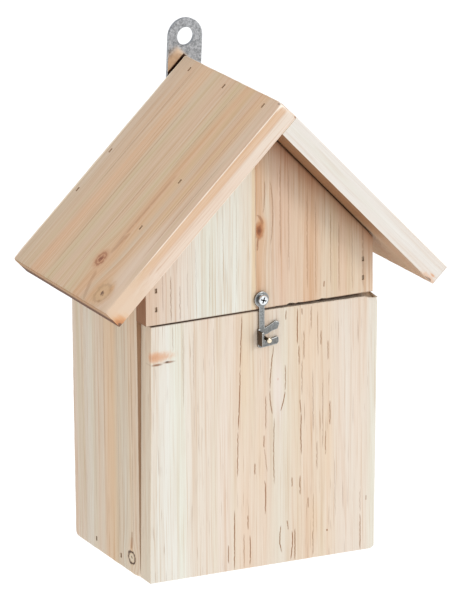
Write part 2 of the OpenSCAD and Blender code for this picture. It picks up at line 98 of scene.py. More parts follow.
class Tree:
    """A material's nodes, built from short calls."""

    def __init__(self, name):
        self.material = bpy.data.materials.new(name)
        self.material.use_nodes = True
        self.nodes = self.material.node_tree.nodes
        self.links = self.material.node_tree.links
        self.nodes.clear()
        self.shader = self.nodes.new("ShaderNodeBsdfPrincipled")
        out = self.nodes.new("ShaderNodeOutputMaterial")
        self.links.new(self.shader.outputs["BSDF"], out.inputs["Surface"])
        self.coord = self.nodes.new("ShaderNodeTexCoord")

    def put(self, socket, value):
        if isinstance(value, bpy.types.NodeSocket):
            self.links.new(value, socket)
        else:
            socket.default_value = value

    def math(self, op, a, b=0.0, c=0.0):
        n = self.nodes.new("ShaderNodeMath")
        n.operation = op
        for socket, value in zip(n.inputs, (a, b, c)):
            self.put(socket, value)
        return n.outputs[0]

    def vector(self, op, a, b):
        n = self.nodes.new("ShaderNodeVectorMath")
        n.operation = op
        self.put(n.inputs[0], a)
        self.put(n.inputs[1], b)
        return n.outputs["Value" if op in ("DOT_PRODUCT", "LENGTH") else "Vector"]

    def combine(self, x, y, z):
        n = self.nodes.new("ShaderNodeCombineXYZ")
        for socket, value in zip(n.inputs, (x, y, z)):
            self.put(socket, value)
        return n.outputs[0]

    def noise(self, where, scale, detail, roughness=0.5):
        n = self.nodes.new("ShaderNodeTexNoise")
        self.put(n.inputs["Vector"], where)
        n.inputs["Scale"].default_value = scale
        n.inputs["Detail"].default_value = detail
        n.inputs["Roughness"].default_value = roughness
        return n.outputs["Fac"]

    def span(self, value, low, high, to_low=0.0, to_high=1.0, smooth=True):
        n = self.nodes.new("ShaderNodeMapRange")
        n.interpolation_type = "SMOOTHSTEP" if smooth else "LINEAR"
        n.clamp = True
        for socket, x in zip(n.inputs, (value, low, high, to_low, to_high)):
            self.put(socket, x)
        return n.outputs[0]

    def mix(self, share, a, b, blend="MIX"):
        n = self.nodes.new("ShaderNodeMix")
        n.data_type = "RGBA"
        n.blend_type = blend
        n.clamp_factor = True
        self.put(n.inputs[0], share)
        self.put(n.inputs[6], a)
        self.put(n.inputs[7], b)
        return n.outputs[2]

    def ramp(self, value, stops):
        n = self.nodes.new("ShaderNodeValToRGB")
        n.color_ramp.interpolation = "EASE"
        first, last = stops[0][0], stops[-1][0]
        elements = n.color_ramp.elements
        while len(elements) < len(stops):
            elements.new(0.5)
        for element, (place, colour) in zip(elements, stops):
            element.position = (place - first) / (last - first)
            element.color = linear(colour)
        self.put(n.inputs[0], self.span(value, first, last, smooth=False))
        return n.outputs[0]

    def times(self, a, b):
        return self.math("MULTIPLY", a, b)

    def squares(self, a, b):
        """The squares of two values, added."""
        return self.math("ADD", self.times(a, a), self.times(b, b))

    def from_middle(self, value, middle, half):
        """How many half widths a value is past a middle."""
        return self.math("DIVIDE", self.math("SUBTRACT", value, middle), half)

    def past(self, point, direction):
        """How many millimetres the surface is past a point of the layout in a direction."""
        away = self.vector("SUBTRACT", self.coord.outputs["Object"], row(*point))
        return self.vector("DOT_PRODUCT", away, direction / MM)

    def facing(self, direction, low, high, to_low=0.0, to_high=1.0):
        """How far the surface faces a direction, between two cosines."""
        cosine = self.vector("DOT_PRODUCT", self.coord.outputs["Normal"], direction)
        return self.span(cosine, low, high, to_low, to_high)

    def stain(self, share, colour, tone):
        """A colour multiplied by a tone."""
        return self.mix(share, colour, self.mix(1.0, colour, linear(tone), "MULTIPLY"))

    def patches(self, a, b, per_a, per_b, seed, roughness=0.6):
        """Noise over two coordinates."""
        where = self.combine(self.times(a, per_a), self.times(b, per_b), seed)
        return self.noise(where, 1.0, 2.0, roughness)

    def streaks(self, place, along, over, seed, detail=2.0, roughness=0.6):
        """Noise over u, v and w, drawn out along the grain."""
        u, v, w = place
        where = self.combine(self.times(u, along), self.times(v, over),
                             self.math("MULTIPLY_ADD", w, over, seed))
        return self.noise(where, 1.0, detail, roughness)

    def bump(self, height, distance, strength):
        n = self.nodes.new("ShaderNodeBump")
        n.inputs["Distance"].default_value = distance
        n.inputs["Strength"].default_value = strength
        self.put(n.inputs["Height"], height)
        self.links.new(n.outputs[0], self.shader.inputs["Normal"])


# Wood

RESIN = (166, 122, 86)
LATE_WOOD = (222, 190, 158)


def wood(name, origin, grain, across, depth, bands, pith, ring, line, seed,
         knots=(), lines=(), blots=(), tint=1.0, wear=(236, 222, 200), faces=(),
         painted_shades=(), rub_ends=(400, 401), rub=(0.3, 0.8), corners=(),
         hair=0.25, contrast=1.0, marked=None):
    """Pine, laid out in millimetres: u along the grain, v across the face, w into the board.

    bands are colours at places across the face. pith is the v and w of the tree's middle and
    how far both lean over 100 mm of grain, ring is the growth rings' spacing and line their
    strength. tint is the strength of the rosy and green patches, contrast that of the streaks
    and hair that of the hairlines. knots, lines, blots, faces, shades and corners are
    explained where they are painted. marked is the depths w between which the knots, lines
    and blots fade out. wear is the colour of worn arrises, rub how pale they are and
    rub_ends where along the grain they stop.
    """
    t = Tree(name)
    u0, v0, w0 = (t.past(origin, direction) for direction in (grain, across, depth))
    sway = t.math("SUBTRACT", t.streaks((u0, v0, w0), 0.006, 0.03, seed, 1.0, 0.5), 0.5)
    v = t.math("MULTIPLY_ADD", sway, 3.0, v0)
    w = t.math("MULTIPLY_ADD", sway, 2.0, w0)
    v = t.math("SUBTRACT", v, push_of_knots(t, knots, u0, v0))
    late = late_wood(t, u0, v, w, pith, ring, seed)

    # Fibres, pinstripes, longer streaks, slow changes of colour and hairlines
    place = (u0, v, w)
    fibre = t.streaks(place, 0.045, 2.1, seed)
    pin = t.streaks(place, 0.016, 1.25, seed * 5, roughness=0.65)
    streak = t.streaks(place, 0.006, 0.30, seed * 2)
    hue = t.streaks(place, 0.005, 0.12, seed * 3, 1.0, 0.5)
    thin = t.streaks(place, 0.045, 1.7, seed * 7, 1.0, 0.5)

    colour = paint_faces(t, t.ramp(v, bands), faces, w)
    rosy = t.mix(1.0, colour, linear((255, 246, 240)), "MULTIPLY")
    green = t.mix(1.0, colour, linear((249, 253, 246)), "MULTIPLY")
    colour = t.mix(t.span(hue, 0.50, 0.72, 0.0, tint), colour, rosy)
    colour = t.mix(t.span(hue, 0.50, 0.28, 0.0, tint), colour, green)
    dark = t.mix(1.0, colour, linear(LATE_WOOD), "MULTIPLY")
    light = t.mix(1.0, colour, linear((255, 251, 244)), "SCREEN")
    colour = t.mix(t.times(late, line), colour, dark)
    colour = t.mix(t.span(streak, 0.50, 0.78, 0.0, 0.40 * contrast), colour, dark)
    colour = t.mix(t.span(pin, 0.52, 0.72, 0.0, 0.50 * contrast), colour, dark)
    colour = t.mix(t.span(pin, 0.48, 0.25, 0.0, 0.12), colour, light)
    colour = t.mix(t.span(fibre, 0.5, 0.2, 0.0, 0.24 * contrast), colour, dark)
    hairline = t.times(t.span(thin, 0.66, 0.76, 0.0, hair), t.span(hue, 0.35, 0.55))
    colour = t.stain(hairline, colour, RESIN)

    plain = colour
    colour = mark_blots(t, colour, blots, u0, v0)
    colour = mark_lines(t, colour, lines, u0, v0, seed)
    colour = mark_knots(t, colour, knots, u0, v0, w0)
    if marked:
        colour = t.mix(t.span(w0, *marked, 1.0, 0.0), plain, colour)

    colour = saw_ends(t, colour, grain, v0, w0, seed)
    worn = t.nodes.new("ShaderNodeAttribute")
    worn.attribute_name = "wear"
    pale = t.times(worn.outputs["Fac"], t.span(streak, 0.3, 0.6, *rub))
    pale = t.times(pale, t.span(u0, *rub_ends, 1.0, 0.0))
    colour = t.mix(pale, colour, linear(wear))
    colour = paint_corner_shade(t, colour, corners)
    colour = paint_side_shade(t, colour, painted_shades, u0, w0)

    t.put(t.shader.inputs["Base Color"], colour)
    t.put(t.shader.inputs["Roughness"], t.span(fibre, 0.2, 0.8, 0.80, 0.62))
    t.shader.inputs["Specular IOR Level"].default_value = 0.25
    t.bump(t.math("ADD", t.times(fibre, 0.8), t.times(pin, 0.5)), 0.00012, 0.6)
    return t.material


def push_of_knots(t, knots, u, v):
    """How far the grain moves across the face as it flows round the knots."""
    push = 0.0
    for knot_u, knot_v, half_u, half_v, face_w, half_w, kind in knots:
        if kind == "orange":
            continue
        du = t.from_middle(u, knot_u, half_u * 2.4)
        dv = t.from_middle(v, knot_v, half_v * 1.8)
        reach = t.math("POWER", 2.718, t.times(-1.0, t.squares(du, dv)))
        push = t.math("ADD", push, t.times(t.times(dv, reach), half_v * 1.7))
    return push


def late_wood(t, u, v, w, pith, ring, seed):
    """The dark part of each growth ring round the pith, from 0 to 1."""
    pith_v, pith_w, lean_v, lean_w = pith
    off_v = t.math("SUBTRACT", v, t.math("MULTIPLY_ADD", u, lean_v / 100, pith_v))
    off_w = t.math("SUBTRACT", w, t.math("MULTIPLY_ADD", u, lean_w / 100, pith_w))
    radius = t.math("SQRT", t.squares(off_v, off_w))
    wobble = t.noise(t.combine(t.times(radius, 0.11), seed * 1.7, 0.0), 1.0, 2.0, 0.6)
    phase = t.math("DIVIDE", t.math("MULTIPLY_ADD", wobble, 7.0, radius), ring)
    turn = t.math("FRACT", phase)
    late = t.times(t.math("POWER", turn, 3.0), t.span(turn, 0.93, 1.0, 1.0, 0.0))
    each = t.noise(t.combine(t.math("FLOOR", phase), seed, 0.0), 3.1, 0.0)
    return t.times(late, t.span(each, 0.35, 0.65, 0.25, 1.0))


def paint_faces(t, colour, faces, w):
    """Each face is a side with a tone of its own, which is the wood's own colour on some boards and
    painted shade on others, as said at each board: its normal, the tone and its share, and the depths
    w between which it fades out, where it does."""
    for normal, tone, share, *fade in faces:
        part = t.span(w, *fade, share, 0.0) if fade else share
        colour = t.mix(t.times(t.facing(normal, 0.75, 0.95), part), colour, linear(tone))
    return colour


def saw_ends(t, colour, grain, v, w, seed):
    """End grain is darker and duller than the faces."""
    cosine = t.vector("DOT_PRODUCT", t.coord.outputs["Normal"], grain)
    end = t.span(t.math("ABSOLUTE", cosine), 0.8, 0.95)
    pores = t.patches(v, w, 1.6, 1.6, seed)
    sawn = t.mix(t.span(pores, 0.35, 0.65), linear((196, 170, 138)), linear((226, 204, 174)))
    return t.mix(t.times(end, 0.7), colour, t.mix(0.5, colour, sawn))


def paint_corner_shade(t, colour, corners):
    """Painted shade: each corner is a dark strip beside a plane, standing in for the shade in a seam,
    a slit or under an overhang: a point and the normal of the plane, how far the strip reaches from it
    and the tone."""
    for point, normal, reach, tone in corners:
        near = t.math("POWER", t.span(t.past(point, normal), reach, 0.0, smooth=False), 2.0)
        colour = t.stain(near, colour, tone)
    return colour


def paint_side_shade(t, colour, painted_shades, u, w):
    """Painted shade on sides: each shade darkens the side that faces its normal, as if it were in
    shade: its normal, tone and share, and the letter of u or w and the places there between which it
    fades out, where it does."""
    for normal, tone, share, *fade in painted_shades:
        part = share
        if fade:
            letter, start, end = fade
            part = t.span({"u": u, "w": w}[letter], start, end, share, 0.0)
        colour = t.stain(t.times(t.facing(normal, 0.6, 0.9), part), colour, tone)
    return colour


def mark_knots(t, colour, knots, u, v, w):
    """Each knot is its place u, v, its half sizes, the w of its face and how deep it goes,
    and its kind, a name in KNOT_TONES."""
    for knot_u, knot_v, half_u, half_v, face_w, half_w, kind in knots:
        ragged = t.patches(u, v, 0.45, 0.7, knot_u * 0.1)
        du = t.from_middle(u, knot_u, half_u)
        dv = t.from_middle(v, knot_v, half_v)
        dw = t.from_middle(w, face_w, half_w)
        far = t.math("SQRT", t.math("MULTIPLY_ADD", dw, dw, t.squares(du, dv)))
        far = t.math("MULTIPLY_ADD", t.math("SUBTRACT", ragged, 0.5), 0.7, far)
        tones = KNOT_TONES[kind]
        share = t.span(far, tones["solid"], tones["reach"], tones["share"], 0.0)
        colour = t.mix(share, colour, t.ramp(far, tones["stops"]))
    return colour


KNOT_TONES = {
    "red": {"stops": [(0.0, (122, 72, 46)), (0.4, (150, 92, 60)), (0.8, (184, 128, 88)),
                      (1.1, (176, 124, 86)), (1.6, (206, 164, 126))],
            "solid": 0.7, "reach": 1.5, "share": 0.95},
    "tip": {"stops": [(0.0, (70, 46, 32)), (0.22, (110, 70, 44)), (0.38, (196, 130, 82)),
                      (0.8, (214, 158, 108)), (1.3, (222, 184, 142))],
            "solid": 0.5, "reach": 1.5, "share": 0.9},
    "orange": {"stops": [(0.0, (206, 142, 98)), (0.5, (216, 158, 114)), (1.0, (224, 178, 138)),
                         (1.6, (226, 196, 164))],
               "solid": 0.3, "reach": 1.3, "share": 0.75},
    "ringed": {"stops": [(0.0, (74, 52, 40)), (0.14, (150, 122, 92)), (0.25, (222, 208, 184)),
                         (0.68, (214, 192, 162)), (0.84, (80, 52, 36)), (1.02, (74, 50, 36)),
                         (1.15, (196, 168, 138))],
               "solid": 1.0, "reach": 1.25, "share": 0.95},
    "eye": {"stops": [(0.0, (84, 58, 42)), (0.12, (120, 88, 62)), (0.22, (204, 166, 126)),
                      (0.5, (202, 166, 126)), (0.8, (180, 143, 106)), (1.0, (202, 162, 120)),
                      (1.2, (192, 152, 110)), (1.5, (208, 174, 136))],
            "solid": 0.5, "reach": 1.6, "share": 0.85},
    "rosy": {"stops": [(0.0, (118, 66, 46)), (0.22, (148, 92, 66)), (0.42, (196, 148, 114)),
                       (0.6, (164, 112, 82)), (0.85, (200, 158, 124)), (1.3, (208, 172, 140))],
             "solid": 0.7, "reach": 1.5, "share": 0.9},
    "torn": {"stops": [(0.0, (104, 70, 50)), (0.6, (156, 112, 84)), (1.2, (206, 166, 136))],
             "solid": 0.6, "reach": 1.3, "share": 0.9},
    "frayed": {"stops": [(0.0, (104, 76, 58)), (0.34, (142, 108, 86)), (0.5, (218, 184, 158)),
                         (0.8, (222, 192, 168)), (1.3, (226, 206, 188))],
               "solid": 0.6, "reach": 1.3, "share": 0.9},
}


def mark_lines(t, colour, lines, u, v, seed):
    """Each line runs along the grain: u and v of its two ends, its half width, its strength
    and how far its middle bows across the grain."""
    if not lines:
        return colour
    waver = t.patches(u, v, 0.35, 0.15, seed, roughness=0.5)
    v = t.math("MULTIPLY_ADD", t.math("SUBTRACT", waver, 0.5), 0.8, v)
    total = 0.0
    for u1, v1, u2, v2, half, strength, bow in lines:
        du = t.from_middle(u, (u1 + u2) / 2, (u1 - u2) / 2)
        square = t.times(du, du)
        path = t.math("MULTIPLY_ADD", du, (v1 - v2) / 2, t.math(
            "MULTIPLY_ADD", square, -bow, (v1 + v2) / 2 + bow))
        dv = t.from_middle(v, path, half)
        far = t.math("MULTIPLY_ADD", dv, dv, t.math("POWER", square, 3.0))
        total = t.math("MAXIMUM", total, t.span(far, 0.15, 1.25, strength, 0.0))
    total = t.times(total, t.span(waver, 0.25, 0.5, 0.55, 1.0))
    return t.stain(total, colour, RESIN)


def mark_blots(t, colour, blots, u, v):
    """Each blot is a soft patch: its middle u, v, half sizes, colour and strength."""
    for blot_u, blot_v, half_u, half_v, tone, strength in blots:
        far = t.math("SQRT", t.squares(t.from_middle(u, blot_u, half_u),
                                       t.from_middle(v, blot_v, half_v)))
        colour = t.mix(t.span(far, 0.15, 1.0, strength, 0.0), colour, linear(tone))
    return colour


# Boards with rounded, worn arrises and slightly uneven faces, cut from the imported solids

# In millimetres
GRID = 3.0
EDGE_CUTS = (0.25, 0.6, 1.1, 1.8)
LEAST_ROUND = 0.15
DEEPEST_DIP = 0.05

# In metres and square metres. Directions shorter than LEAST_LENGTH get no grid.
LEAST_LENGTH = 0.02
LEAST_SIDE = 1.2e-4
SAME_OFFSET = 2e-5
ON_PLANE = 2e-6


def outer_planes(bm):
    """Normal and offset of each flat outer side of a board, without its bores."""
    found = []
    for f in bm.faces:
        n, c = f.normal.copy(), f.normal.dot(f.calc_center_median())
        for entry in found:
            if entry[0].dot(n) > 0.9999 and abs(entry[1] - c) < SAME_OFFSET:
                entry[2] += f.calc_area()
                break
        else:
            found.append([n, c, f.calc_area()])
    return [(n, c) for n, c, area in found if area > LEAST_SIDE]


def cut(bm, normal, offset):
    bmesh.ops.bisect_plane(bm, geom=bm.verts[:] + bm.edges[:] + bm.faces[:], dist=ON_PLANE,
                           plane_co=normal * offset, plane_no=normal)


def slice_board(bm, planes, fine):
    """Cuts beside each arris, and a grid over the faces along the board's own directions.
    fine are x between which the grid is closer, with its step."""
    for n, c in planes:
        for inset in EDGE_CUTS:
            cut(bm, n, c - inset * MM)
    axes = []
    for n, c in planes:
        if all(abs(n.dot(a)) < 0.3 for a in axes):
            axes.append(n)
    for a in axes:
        reach = [a.dot(v.co) for v in bm.verts]
        low, high = min(reach), max(reach)
        if high - low < LEAST_LENGTH:
            continue
        count = int((high - low) / (GRID * MM))
        for k in range(1, count):
            cut(bm, a, low + (high - low) * k / count)
    for low, high, step in fine:
        for k in range(int((high - low) / step) + 1):
            cut(bm, X, (low + k * step - ORIGIN.x) * MM)


def left_to_right(p, left, right):
    """A value that goes from the body's left side to its right side."""
    share = (p.x / MM + ORIGIN.x + BODY_WIDTH / 2) / BODY_WIDTH
    return left + (right - left) * min(1, max(0, share))


def arris_radius(p, round_mm, chips):
    """How round an arris is near p: uneven, and more so at a chip."""
    rough = noise.noise(p * 160 + Vector((3.1, 0, 0))) + 0.5 * noise.noise(p * 420)
    radius = round_mm * (1 + 0.55 * rough)
    for place, reach, depth in chips:
        away = (p - place).length / reach
        if away < 1:
            radius = max(radius, depth * (1 - away * away))
    return max(LEAST_ROUND, radius) * MM


def wear_board(bm, planes, round_mm, chips, crown):
    """Rounds the arrises, dents the faces and keeps how worn each vertex is."""
    wear = bm.verts.layers.float.new("wear")
    for v in bm.verts:
        p = v.co.copy()
        radius = arris_radius(p, round_mm, chips)
        gaps = [(c - n.dot(p), n) for n, c in planes]
        near = [(radius - d, n) for d, n in gaps if d < radius]
        if crown:
            wide = max(radius, MM * left_to_right(p, crown[1][1], crown[2][1]))
            front_top = [(wide - d, n) for d, n in gaps if d < wide and (n.y < -0.9 or n.z > 0.9)]
            if len(front_top) == 2:
                near, radius = front_top, wide
        if len(near) > 1:
            long = math.sqrt(sum(q * q for q, n in near))
            if long > radius:
                for q, n in near:
                    v.co -= n * (q - q * radius / long)
                v[wear] = min(1.0, (long / radius - 1) / 0.3)
        flat = [n for d, n in gaps if d < ON_PLANE]
        if len(flat) == 1:
            dip = 0.5 + 0.5 * noise.noise(p * 55) + 0.4 * noise.noise(p * 190)
            v.co -= flat[0] * DEEPEST_DIP * MM * max(0.0, dip)


def board(node, name, material, body, round_mm=0.6, chips=(), fine=(), crown=None):
    """A board of the frame, dressed. chips are places in the layout where an arris is worn
    further, with their reach and depth in millimetres. crown is for a board whose top rises
    sideways: the height above which its vertices rise, then the rise and the top front
    arris's radius at the body's left side, and the same at its right side."""
    bm = bmesh.new()
    bm.from_mesh(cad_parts[node].data)
    bmesh.ops.remove_doubles(bm, verts=bm.verts, dist=1e-6)
    if crown:
        level, left, right = crown
        for v in bm.verts:
            if v.co.z > row(0, 0, level).z:
                v.co.z += MM * left_to_right(v.co, left[0], right[0])
    planes = outer_planes(bm)
    slice_board(bm, planes, fine)
    chips = [(row(*place), reach * MM, depth) for place, reach, depth in chips]
    wear_board(bm, planes, round_mm, chips, crown)
    mesh = bpy.data.meshes.new(name)
    bm.to_mesh(mesh)
    bm.free()
    mesh.polygons.foreach_set("use_smooth", [True] * len(mesh.polygons))
    mesh.set_sharp_from_angle(angle=math.radians(35))
    piece = bpy.data.objects.new(name, mesh)
    bpy.context.scene.collection.objects.link(piece)
    piece.data.materials.append(material)
    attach(piece, body)
    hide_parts(node)


# The woods, with places in the layout's millimetres, or from the ridge for the roof boards

door_wood = wood(
    "pine_door", BASE, Z, X, Y,
    bands=[(-68, (222, 216, 202)), (-58, (226, 223, 212)), (-50, (228, 225, 214)),
           (-38, (225, 214, 198)), (-22, (226, 212, 196)), (-12, (225, 207, 186)),
           (2, (223, 206, 186)), (11, (224, 213, 198)), (22, (223, 205, 183)),
           (38, (224, 206, 184)), (50, (225, 213, 198)), (62, (225, 213, 197)),
           (68, (226, 220, 207))],
    pith=(-160.0, 70.0, 1.0, 2.0), ring=3.1, line=0.16, seed=4.0, tint=0.5,
    knots=[(126.2, -64.0, 3.3, 13.0, -THICK, 3.5, "orange")],
    lines=[(142.1, -11.1, 111.8, -12.6, 0.34, 0.9, 0.0),
           (113.0, -12.5, 78.0, -14.1, 0.34, 1.0, 0.3), (78.0, -14.1, 52.0, -14.6, 0.34, 0.85, 0.0),
           (141.0, 15.1, 135.5, 15.0, 0.34, 0.84, 0.0), (141.5, 21.9, 120.5, 21.8, 0.34, 1.0, 0.0),
           (140.7, 24.6, 136.8, 24.6, 0.34, 0.84, 0.0), (120.4, 22.7, 109.2, 22.7, 0.34, 0.84, 0.0),
           (128.3, 25.8, 111.6, 25.7, 0.34, 0.72, 0.0), (141.6, 30.1, 128.0, 30.0, 0.34, 0.72, 0.0),
           (126.8, 36.0, 118.4, 36.0, 0.34, 0.72, 0.0), (138.0, 34.0, 112.0, 34.2, 0.3, 0.48, 0.0),
           (120.6, 40.2, 109.4, 40.2, 0.34, 0.78, 0.0), (111.8, 24.5, 92.0, 24.3, 0.3, 0.6, 0.0),
           (106.0, 31.0, 70.0, 31.2, 0.3, 0.48, 0.0), (100.0, 37.0, 60.0, 36.8, 0.3, 0.54, 0.0),
           (122.7, 7.8, 98.0, 5.2, 0.34, 0.9, -0.5), (98.0, 5.2, 84.0, 6.6, 0.34, 0.84, -0.4),
           (111.0, 14.3, 96.0, 14.2, 0.34, 0.78, 0.3), (96.0, 14.2, 85.0, 11.4, 0.34, 1.0, 0.4),
           (82.6, 24.0, 58.4, 23.9, 0.34, 1.0, -0.3), (90.0, 23.2, 82.0, 23.8, 0.34, 0.72, 0.0),
           (82.4, 7.8, 44.1, 7.5, 0.34, 0.78, -0.5), (95.5, 2.8, 75.9, 2.6, 0.34, 0.72, 0.0),
           (73.3, 1.4, 66.0, 1.4, 0.34, 0.96, 0.0), (66.0, 1.5, 52.0, 3.2, 0.3, 0.54, 0.0),
           (58.4, -4.1, 51.7, -4.2, 0.34, 0.9, 0.0), (47.9, 1.8, 28.1, 1.7, 0.34, 0.96, 0.4),
           (47.3, 22.9, 35.9, 22.9, 0.34, 1.0, 0.0), (46.9, 18.1, 41.3, 18.1, 0.34, 0.84, 0.0),
           (34.0, 27.7, 27.7, 27.7, 0.34, 0.84, 0.0), (70.2, 38.5, 56.1, 38.4, 0.34, 0.72, 0.0),
           (86.7, 41.3, 72.6, 41.2, 0.34, 0.96, 0.0), (65.4, 33.3, 48.4, 33.2, 0.34, 0.6, 0.0),
           (20.8, 11.3, 4.9, 11.6, 0.34, 1.0, -0.9), (23.0, 14.9, 17.3, 15.6, 0.34, 0.9, 0.0),
           (16.6, 18.0, -0.2, 16.9, 0.34, 1.0, 0.6), (17.7, 19.7, -0.6, 19.6, 0.34, 0.96, 0.0),
           (14.7, 30.6, 0.4, 30.6, 0.34, 0.66, 0.0), (13.9, 39.2, 12.7, 39.2, 0.5, 0.9, 0.0),
           (19.6, 59.4, -1.6, 59.4, 0.34, 0.9, 0.0), (34.0, 59.4, 20.0, 59.4, 0.3, 0.48, 0.0),
           (29.3, 63.1, 26.4, 63.1, 0.35, 0.6, 0.0), (34.0, -16.6, -0.5, -16.9, 0.34, 0.96, 0.0),
           (14.8, -20.4, 4.0, -20.5, 0.34, 0.84, 0.0), (29.8, -8.6, 21.3, -8.6, 0.34, 0.78, 0.0),
           (18.3, -7.5, 1.2, -7.6, 0.34, 0.9, 0.3), (20.0, -11.0, 0.0, -11.2, 0.3, 0.6, 0.0),
           (36.0, 31.0, 10.0, 30.8, 0.3, 0.48, 0.0), (54.0, 44.0, 20.0, 44.2, 0.3, 0.36, 0.0),
           (140.0, -46.0, 96.0, -46.2, 0.3, 0.36, 0.0), (138.0, -40.0, 104.0, -40.0, 0.3, 0.3, 0.0),
           (142.0, -52.0, 128.0, -52.0, 0.3, 0.36, 0.0), (138.0, -28.0, 116.0, -28.0, 0.3, 0.3, 0.0)],
    blots=[(103.3, 10.0, 1.1, 0.8, (196, 132, 92), 0.8),
           (96.0, 9.8, 24.0, 5.0, (228, 216, 206), 0.6),
           (110.0, -10.0, 34.0, 5.0, (226, 200, 168), 0.35),
           (120.0, 28.0, 28.0, 10.0, (226, 200, 170), 0.3),
           (62.0, -1.0, 40.0, 4.0, (226, 202, 172), 0.3),
           (60.0, 40.0, 34.0, 5.0, (226, 200, 168), 0.3),
           (20.0, 31.0, 20.0, 5.0, (224, 196, 162), 0.35),
           (122.6, -54.5, 0.9, 5.0, (146, 100, 68), 0.8),
           (122.0, -61.5, 1.0, 4.6, (138, 92, 60), 0.9),
           (122.8, -55.5, 0.8, 1.6, (84, 56, 38), 0.9)],
    hair=0.5, contrast=0.8, marked=(-7.0, -5.0),
    # Painted shade: a dark strip in the seam along the door's top, and the door's left side slightly
    # darkened
    corners=[((0, 0, DOOR_TOP), -Z, 0.9, (112, 82, 62))],
    painted_shades=[(-X, (252, 244, 234), 1.0)])

gable_left_wood = wood(
    "pine_gable_left", BASE, Z, X, Y,
    bands=[(-68, (214, 190, 168)), (-60, (216, 196, 176)), (-56, (220, 204, 188)),
           (-46, (223, 212, 198)), (-36, (225, 224, 213)), (-18, (226, 226, 215)),
           (-6, (225, 218, 202)), (-4, (226, 208, 178)), (-2, (222, 196, 164))],
    pith=(150.0, 60.0, 1.0, 2.0), ring=2.3, line=0.14, seed=9.0, tint=0.3,
    lines=[(170.0, -52.8, 144.0, -52.8, 0.3, 0.75, 0.0),
           (164.0, -47.5, 144.0, -47.5, 0.3, 0.6, 0.0),
           (172.0, -43.0, 150.0, -43.0, 0.25, 0.3, 0.0), (184.0, -38.0, 146.0, -38.0, 0.25, 0.3, 0.0),
           (190.0, -30.0, 150.0, -30.0, 0.25, 0.3, 0.0), (206.0, -22.0, 160.0, -22.0, 0.25, 0.3, 0.0),
           (210.0, -14.0, 150.0, -14.0, 0.25, 0.25, 0.0), (176.0, -57.5, 150.0, -57.5, 0.4, 0.3, 0.0)],
    # Painted shade: a dark strip in the seam at the gable's foot, and its left end darkened where the
    # roof shades it
    corners=[((0, 0, GABLE_FOOT), Z, 0.7, (150, 114, 90))],
    painted_shades=[(-X, (176, 146, 122), 1.0)])

gable_right_wood = wood(
    "pine_gable_right", BASE, Z, X, Y,
    bands=[(-3, (206, 172, 140)), (0, (214, 184, 154)), (4, (220, 202, 180)),
           (8, (218, 196, 174)), (14, (218, 192, 168)), (22, (219, 195, 170)),
           (30, (217, 186, 156)), (38, (220, 202, 178)), (50, (219, 194, 168)),
           (58, (221, 202, 178)), (68, (220, 198, 174))],
    pith=(170.0, 60.0, 1.0, 2.0), ring=3.0, line=0.3, seed=14.0, tint=0.6,
    knots=[(187.0, -0.6, 4.2, 2.4, -THICK, 8.0, "red")],
    lines=[(196.0, -1.8, 190.0, 1.2, 1.0, 0.5, 1.0), (214.0, 3.0, 196.0, 1.8, 0.35, 0.5, 0.4),
           (214.0, 6.0, 178.0, 6.0, 0.4, 0.45, 1.6), (184.0, -1.2, 176.0, -1.8, 0.6, 0.6, 0.0),
           (222.0, 12.0, 170.0, 12.0, 0.5, 0.35, 0.0), (220.0, 17.0, 160.0, 17.0, 0.4, 0.35, 0.0),
           (206.0, 28.0, 150.0, 28.0, 0.5, 0.35, 0.0), (200.0, 33.0, 146.0, 33.0, 0.3, 0.4, 0.0),
           (192.0, 42.0, 150.0, 42.0, 0.4, 0.35, 0.0), (186.0, 47.0, 146.0, 47.0, 0.5, 0.35, 0.0),
           (154.0, 38.0, 150.5, 38.0, 0.5, 0.7, 0.0), (180.0, 55.0, 146.0, 55.0, 0.3, 0.4, 0.0),
           (184.0, 61.5, 146.0, 61.5, 0.6, 0.4, 0.0)],
    blots=[(198.0, 4.0, 16.0, 2.6, (220, 206, 184), 0.6),
           (190.0, 1.0, 6.0, 4.0, (212, 158, 110), 0.6)],
    # Painted shade: a soft dark strip under the right roof board where its overhang shades the gable,
    # a near black line in the slit below the board, and a dark strip in the seam at the foot
    corners=[(UNDER_RIGHT, IN_RIGHT, 17.0, (184, 148, 120)),
             (UNDER_RIGHT, IN_RIGHT, 2.4, (30, 18, 12)),
             ((0, 0, GABLE_FOOT), Z, 0.8, (140, 102, 78))])

side_wood = wood(
    "pine_side", BASE, Z, Y, X,
    bands=[(-2, (218, 200, 178)), (8, (220, 200, 174)), (16, (216, 204, 184)),
           (24, (214, 198, 174)), (30, (220, 194, 162)), (37, (222, 196, 166)),
           (44, (219, 202, 180)), (52, (219, 202, 180)), (58, (221, 211, 194)),
           (63, (218, 206, 188)), (68, (216, 202, 182))],
    pith=(150.0, 80.0, 1.0, 1.5), ring=3.2, line=0.16, seed=21.0, tint=0.4,
    knots=[(8.9, 9.5, 3.6, 4.3, -BODY_WIDTH / 2, 30.0, "ringed")],
    lines=[(24.0, 8.6, 13.5, 10.0, 1.4, 0.5, -0.4), (130.0, 7.4, 70.0, 7.2, 0.6, 0.3, 0.0),
           (70.0, 7.2, 20.0, 7.0, 0.5, 0.3, 0.0), (150.0, 41.0, 60.0, 41.0, 0.4, 0.25, 0.0),
           (120.0, 52.5, 20.0, 52.5, 0.4, 0.25, 0.0), (150.0, 24.0, 10.0, 24.0, 0.4, 0.25, 0.0)],
    blots=[(60.0, 32.0, 70.0, 6.0, (222, 190, 154), 0.55),
           (15.0, 10.0, 7.0, 3.0, (214, 168, 124), 0.5)],
    # Painted shade: the side boards' front edges brown, as shaded in the narrow gap beside the door
    faces=[(-Y, (158, 122, 90), 0.9)])

